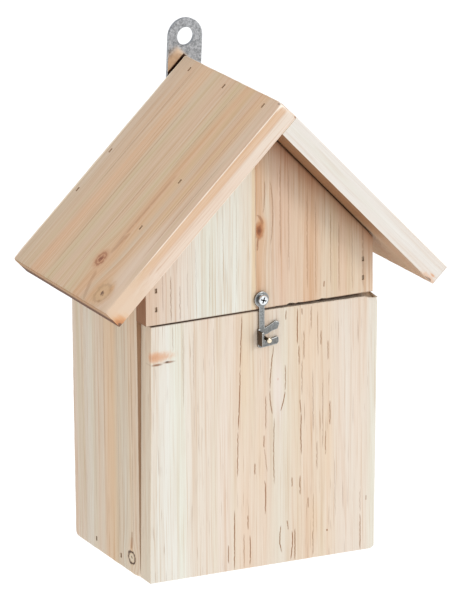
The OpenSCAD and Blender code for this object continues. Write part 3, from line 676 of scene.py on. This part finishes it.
back_wood = wood(
    "pine_back", BASE, Z, X, Y,
    bands=[(-68, (219, 202, 182)), (-30, (216, 206, 188)), (0, (220, 202, 180)),
           (30, (216, 204, 184)), (68, (218, 200, 178))],
    pith=(10.0, -50.0, 1.0, 3.0), ring=3.4, line=0.35, seed=27.0)

floor_wood = wood(
    "pine_floor", BASE, X, Y, Z,
    bands=[(-2, (212, 196, 174)), (30, (216, 202, 182)), (68, (212, 194, 170))],
    pith=(20.0, -40.0, 1.0, 3.0), ring=3.4, line=0.35, seed=31.0)

left_roof_wood = wood(
    "pine_roof_left", RIDGE, DOWN_LEFT, Y, IN_LEFT,
    bands=[(-36, (212, 184, 158)), (-26, (212, 186, 160)), (-18, (214, 180, 146)),
           (-10, (208, 182, 154)), (-2, (212, 178, 144)), (10, (208, 184, 152)),
           (24, (212, 184, 156)), (36, (208, 184, 154)), (48, (214, 182, 150)),
           (62, (208, 182, 154)), (76.6, (206, 184, 160)),
           (77.6, (234, 214, 194)), (79, (240, 222, 204))],
    pith=(-160.0, 90.0, 1.0, 1.5), ring=3.6, line=0.3, seed=37.0, tint=0.8,
    knots=[(119.6, 5.0, 6.0, 5.2, 0.0, 10.0, "rosy"), (135.0, -19.7, 7.0, 7.4, 0.0, 30.0, "eye"),
           (143.7, -36.5, 6.4, 7.4, 11.8, 6.4, "tip"),
           (0.4, ROOF_FRONT, 1.3, 2.0, 3.0, 1.6, "torn"),
           (0.2, ROOF_FRONT, 1.0, 2.0, 11.6, 1.2, "torn")],
    lines=[(110.0, 2.0, 60.0, 1.0, 1.2, 0.3, 0.0), (143.5, -8.8, 126.0, 0.5, 1.8, 0.26, 1.0),
           (115.0, 0.8, 100.0, -1.4, 1.6, 0.3, 0.5),
           (60.0, 10.0, 0.0, 8.0, 0.5, 0.3, 0.0), (140.0, 40.0, 20.0, 40.0, 0.5, 0.3, 0.0),
           (90.0, 60.0, 0.0, 60.0, 0.5, 0.3, 0.0), (130.0, 20.0, 60.0, 20.0, 0.4, 0.35, 0.0),
           (100.0, -20.0, 10.0, -20.0, 0.4, 0.35, 0.0), (110.0, -28.0, 40.0, -28.0, 0.4, 0.35, 0.0),
           (124.7, 5.6, 119.0, 6.6, 0.5, 0.9, 0.0), (121.0, 4.0, 115.5, 2.6, 0.5, 0.8, 0.0)],
    blots=[(116.0, -25.0, 40.0, 12.0, (220, 198, 176), 0.6),
           (131.6, -24.0, 5.0, 3.6, (206, 150, 96), 0.6),
           (139.5, -22.0, 1.4, 1.6, (140, 96, 62), 0.8),
           (137.0, -15.0, 6.0, 1.4, (176, 138, 98), 0.5),
           (1.0, -33.5, 1.4, 2.2, (92, 62, 46), 0.9),
           (134.0, -35.0, 26.0, 7.0, (220, 194, 168), 0.85),
           (20.0, 40.0, 60.0, 5.0, (208, 188, 162), 0.5),
           (90.0, -6.0, 60.0, 5.0, (214, 176, 134), 0.35),
           (40.0, -28.0, 50.0, 4.0, (208, 188, 164), 0.4),
           (110.0, 30.0, 40.0, 6.0, (206, 184, 158), 0.4)],
    # Its worn arrises are paled strongly: partly wear and partly a painted highlight along them
    wear=(252, 240, 224), rub_ends=(100, 128), rub=(0.8, 1.0), contrast=0.75,
    faces=[(-Y, (226, 213, 198), 0.9), (-Y, (214, 178, 144), 0.85, 4.0, 6.5)],
    # Painted shade: the lower end face darker, most on its lower part, and a faint dark strip at the
    # ridge
    painted_shades=[(DOWN_LEFT, (212, 192, 172), 1.0), (DOWN_LEFT, (150, 126, 106), 1.0, "w", 6.6, 4.2)],
    corners=[(RIDGE, DOWN_LEFT, 1.5, (226, 212, 198))])

right_roof_wood = wood(
    "pine_roof_right", RIDGE, DOWN_RIGHT, Y, IN_RIGHT,
    bands=[(-36, (224, 218, 210)), (-28, (214, 192, 168)), (0, (214, 190, 164)),
           (40, (214, 192, 166)), (79, (212, 192, 168))],
    pith=(-160.0, 60.0, 1.0, 2.0), ring=3.0, line=0.08, seed=43.0, tint=0.5,
    # The cream front is the wood's own colour; the tan underside is painted shade
    faces=[(-Y, (223, 217, 208), 0.95), (IN_RIGHT, (180, 146, 114), 0.85)],
    knots=[(138.0, ROOF_FRONT, 7.0, 3.0, 12.2, 2.6, "frayed"),
           (138.4, ROOF_FRONT, 2.4, 2.0, 8.8, 0.7, "orange")],
    # Painted shade: the lower end face and the underside beyond the gable darker, and a dark strip
    # along the lower end
    painted_shades=[(DOWN_RIGHT, (200, 170, 146), 1.0),
            (IN_RIGHT, (206, 184, 164), 1.0, "u", 84.0, 116.0)],
    corners=[(END_RIGHT, -DOWN_RIGHT, 0.9, (196, 176, 156))], contrast=0.4)


# The boards

splinters = random.Random(5)

# The door's top edge rises by this much at its right, so that the seam is thin as in the
# photograph
DOOR_RISE = 2.55


def torn(low, high, z, count, depth):
    """Small chips along a level front arris, from x low to high."""
    return [((splinters.uniform(low, high), -THICK, z), splinters.uniform(0.8, 1.6),
             splinters.uniform(0.5, 1.0) * depth) for k in range(count)]


board("door_panel", "door_board", door_wood, "door", round_mm=0.3, fine=[(12, 66, 1.1)],
      chips=[((68, -THICK, 143.2), 6.0, 3.0)], crown=(130, (0.0, 0.3), (DOOR_RISE, 0.6)))
board("gable_left_board", "gable_board_left", gable_left_wood, "carcass", round_mm=0.35)
board("gable_right_board", "gable_board_right", gable_right_wood, "carcass", round_mm=0.3,
      fine=[(2, 66, 1.1)],
      chips=torn(8, 64, GABLE_FOOT, 16, 0.9) + [
          ((18.1, -THICK, GABLE_FOOT), 2.4, 3.2), ((37.0, -THICK, GABLE_FOOT), 2.0, 2.2),
          ((23.0, -THICK, GABLE_FOOT), 1.8, 1.6)])
board("left_side_panel", "side_board_left", side_wood, "carcass",
      chips=[((-BODY_WIDTH / 2, 0, 0), 5.0, 2.2)])
board("right_side_panel", "side_board_right", side_wood, "carcass")
board("back_panel", "back_board", back_wood, "carcass")
board("floor_panel", "floor_board", floor_wood, "carcass")
board("left_roof_board", "roof_board_left", left_roof_wood, "carcass",
      chips=[((END_LEFT[0], y, END_LEFT[2]), 9.0, 1.5) for y in range(-36, 80, 8)] + [
          ((RIDGE[0] + 1, ROOF_FRONT, RIDGE[2] - 1), 5.0, 2.8),
          ((RIDGE[0] + 6, ROOF_FRONT, RIDGE[2] - 6), 2.5, 1.8)])
board("right_roof_board", "roof_board_right", right_roof_wood, "carcass")


# Metal

SCREW_HEAD = 5.6


def metal(name, tone, low, high, speckle, roughness, seed, faces=(), darker_below=(), recess=None,
          edge=None, roof_reflection=None, gap_shade=None):
    """Metal whose tone runs between two shares of its colour over its speckle.

    faces are sides painted a tone of their own, as painted shade where a side is darker and as a
    painted highlight where it is paler, and patina makes it darker towards the bottom, from a height
    down to
    another. recess paints shade: it blackens what is sunk near a centre on the front. edge is a
    painted highlight, the tone of the rounded edges of the front. mirrored and gap are explained at
    paint_roof_reflection.
    """
    t = Tree(name)
    local = t.vector("SUBTRACT", t.coord.outputs["Object"], (seed * MM, 0, 0))
    mottle = t.noise(local, 1000 / speckle, 3.0, 0.6)
    fine = t.noise(local, 3500 / speckle, 2.0, 0.7)
    both = t.math("MULTIPLY_ADD", fine, 0.4, t.times(mottle, 0.6))
    colour = t.mix(t.span(both, 0.36, 0.64), linear([c * low for c in tone]),
                   linear([min(255, c * high) for c in tone]))
    for normal, face, share in faces:
        colour = t.mix(t.facing(normal, 0.4, 0.8, 0.0, share), colour, linear(face))
    # Darker towards the bottom
    for high_z, low_z, share in darker_below:
        height = t.vector("DOT_PRODUCT", t.coord.outputs["Object"], Z)
        colour = t.stain(t.span(height, low_z, high_z, share, 0.0), colour, (176, 168, 158))
    # A painted reflection of the roof board and painted shade beside it
    if roof_reflection:
        colour = paint_roof_reflection(t, colour, roof_reflection, gap_shade)
    # A painted highlight on the rounded edges of the front
    if edge:
        rounded = t.times(t.facing(-Y, 0.2, 0.35), t.facing(-Y, 0.97, 0.99, 1.0, 0.0))
        colour = t.mix(t.times(rounded, 0.6), colour, linear(edge))
    # Painted shade in the cross recess
    if recess:
        colour = paint_recess_shade(t, colour, *recess)
    t.put(t.shader.inputs["Base Color"], colour)
    t.shader.inputs["Metallic"].default_value = 1.0
    t.put(t.shader.inputs["Roughness"], t.span(both, 0.3, 0.7, roughness - 0.08, roughness + 0.1))
    t.bump(both, 0.00005, 0.5)
    return t.material


def paint_roof_reflection(t, colour, roof_reflection, gap_shade):
    """On the front, mirrored is a painted reflection: the tone of the left roof board as it would show
    in the metal
    over it. gap is painted shade: the dark tone close to the roof, where the slot behind its edge is
    shaded."""
    over = [t.past(RIDGE, -inward) for inward in (IN_LEFT, IN_RIGHT)]
    above = t.math("MAXIMUM", *over)
    front = t.facing(-Y, 0.6, 0.9)
    share = t.times(t.span(above, 3.5, 8.5, 0.9, 0.0), t.span(over[1], -1.0, 2.0, 1.0, 0.0))
    colour = t.mix(t.times(share, front), colour, linear(roof_reflection))
    share = t.times(t.span(above, 0.25, 0.8, 1.0, 0.0), t.span(above, -3.0, -2.0))
    return t.mix(t.times(share, front), colour, linear(gap_shade))


def paint_recess_shade(t, colour, centre, reach, front):
    """Painted shade in the cross recess: what is within reach of the centre and behind the head's
    front is painted near black.
    """
    away = t.vector("SUBTRACT", t.coord.outputs["Object"], centre)
    flat = t.vector("MULTIPLY", away, Vector((1, 0, 1)))
    near = t.span(t.vector("LENGTH", flat, (0, 0, 0)), reach, reach * 0.96)
    sunk = t.span(t.vector("DOT_PRODUCT", t.coord.outputs["Object"], Y), front, front + 0.1 * MM)
    return t.mix(t.times(near, sunk), colour, linear((34, 33, 32)))


screw_low, screw_high = (Vector(c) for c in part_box("latch_pivot_screw"))
screw_mid = (screw_low + screw_high) / 2
# The plate's front has a painted reflection of the left roof board and painted shade in the slot
# beside the roof
galvanised = metal("galvanised_steel", (159, 161, 163), 0.76, 1.2, 1.3, 0.40, 1,
                   roof_reflection=(236, 208, 178), gap_shade=(76, 50, 36))
zinc = metal("zinc_plated_steel", (166, 168, 170), 0.84, 1.08, 1.2, 0.36, 2)
# The hook: painted shade on its left and under sides, darker towards the bottom, and a painted
# highlight on its front's rounded edges
hook_zinc = metal("hook_zinc", (142, 144, 143), 0.78, 1.12, 0.9, 0.34, 6,
                  faces=[(-X, (100, 80, 62), 0.85), (-Z, (90, 76, 62), 0.6)],
                  darker_below=[(-0.1345, -0.141, 0.4)], edge=(206, 207, 204))
bright = metal("bright_steel", (214, 217, 219), 0.94, 1.04, 0.8, 0.22, 3)
# The screw: painted shade in its cross recess and on its head's left side
screw_steel = metal("screw_steel", (226, 229, 230), 0.96, 1.04, 0.8, 0.3, 7,
                    recess=(screw_mid, 0.32 * SCREW_HEAD * MM, screw_low.y + 0.05 * MM),
                    faces=[(-X, (96, 98, 98), 0.8)])
brad_steel = metal("brad_steel", (158, 138, 116), 0.7, 1.15, 0.6, 0.5, 4)
# The pin: dark as painted shade on its sides, and its front painted pale as a painted highlight
brass = metal("brass", (120, 98, 70), 0.9, 1.06, 0.8, 0.32, 5, faces=[(-Y, (240, 226, 200), 1.0)])

FINISH = {
    "hanging_plate": galvanised,
    "hanging_plate_screws": zinc,
    "latch_hook": hook_zinc,
    "latch_pivot_screw": screw_steel,
    "latch_pin": brass,
    "ridge_brads": brad_steel,
    "roof_to_gable_brads": brad_steel,
    "roof_to_back_brads": brad_steel,
    "gable_to_side_brads": brad_steel,
    "side_to_floor_brads": brad_steel,
    "back_to_side_brads": brad_steel,
    "left_hinge_fixed_leaf": zinc,
    "right_hinge_fixed_leaf": zinc,
    "left_hinge_door_leaf": zinc,
    "right_hinge_door_leaf": zinc,
    "left_hinge_pin": bright,
    "right_hinge_pin": bright,
    "hinge_fixed_leaf_screws": zinc,
    "hinge_door_leaf_screws": zinc,
}
for node, material in FINISH.items():
    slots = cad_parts[node].data.materials
    slots.clear()
    slots.append(material)


# The hook's edges are slightly round

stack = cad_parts["latch_hook"].modifiers
weld = stack.new("weld", "WELD")
weld.merge_threshold = 1e-6
flat = stack.new("flat", "DECIMATE")
flat.decimate_type = "DISSOLVE"
flat.angle_limit = math.radians(1)
edge = stack.new("edge", "BEVEL")
edge.width = 0.28 * MM
edge.use_clamp_overlap = False
edge.segments = 2
edge.limit_method = "ANGLE"
edge.angle_limit = math.radians(50)


# Floor, light and camera

FLOOR_HALF = 30.0
FLOOR_Z = -0.52
FRONT_MIDDLE = (0, -0.05, -0.15)

# Fitted to the photograph's edges
CAMERA_PLACE = (-1226.176, -2408.551, 974.543)
CAMERA_RIGHT = Vector((0.89179895, -0.45234547, -0.00884356))
CAMERA_UP = Vector((0.14018116, 0.2576767, 0.95600835))
CAMERA_BACK = Vector((-0.43016727, -0.85380694, 0.29320613))


def floor_plane():
    mesh = bpy.data.meshes.new("floor")
    corners = [(-1, -1), (1, -1), (1, 1), (-1, 1)]
    mesh.from_pydata([(x * FLOOR_HALF, y * FLOOR_HALF, FLOOR_Z) for x, y in corners],
                     [], [(0, 1, 2, 3)])
    plane = bpy.data.objects.new("floor", mesh)
    bpy.context.scene.collection.objects.link(plane)
    t = Tree("floor_white")
    t.shader.inputs["Base Color"].default_value = (0.55, 0.55, 0.55, 1)
    t.shader.inputs["Roughness"].default_value = 0.9
    t.shader.inputs["Specular IOR Level"].default_value = 0.0
    t.shader.inputs["Emission Color"].default_value = (1, 1, 1, 1)
    t.shader.inputs["Emission Strength"].default_value = 0.62
    mesh.materials.append(t.material)


def area_light(name, place, size, power):
    data = bpy.data.lights.new(name, "AREA")
    data.shape = "DISK"
    data.size = size
    data.energy = power
    lamp = bpy.data.objects.new(name, data)
    lamp.location = place
    lamp.rotation_mode = "QUATERNION"
    lamp.rotation_quaternion = (Vector(FRONT_MIDDLE) - Vector(place)).to_track_quat("-Z", "Y")
    bpy.context.scene.collection.objects.link(lamp)


def pale_world():
    world = bpy.data.worlds.new("studio")
    world.use_nodes = True
    background = world.node_tree.nodes["Background"]
    background.inputs["Color"].default_value = (0.985, 1.0, 1.045, 1)
    background.inputs["Strength"].default_value = 0.7
    bpy.context.scene.world = world


def fitted_camera():
    data = bpy.data.cameras.new("camera")
    data.sensor_width = 36.0
    data.lens = 319.443
    data.clip_start = 0.1
    data.clip_end = 200.0
    eye = bpy.data.objects.new("camera", data)
    turn = Matrix((CAMERA_RIGHT, CAMERA_UP, CAMERA_BACK)).transposed().to_4x4()
    eye.matrix_world = Matrix.Translation(row(*CAMERA_PLACE)) @ turn
    bpy.context.scene.collection.objects.link(eye)
    bpy.context.scene.camera = eye


floor_plane()
pale_world()
area_light("key", (1.3, -2.4, 1.1), 0.8, 19.4)
area_light("top", (0.0, -0.4, 4.0), 2.5, 54)
fitted_camera()
bpy.context.scene.view_settings.view_transform = "Standard"
bpy.context.scene.view_settings.look = "None"
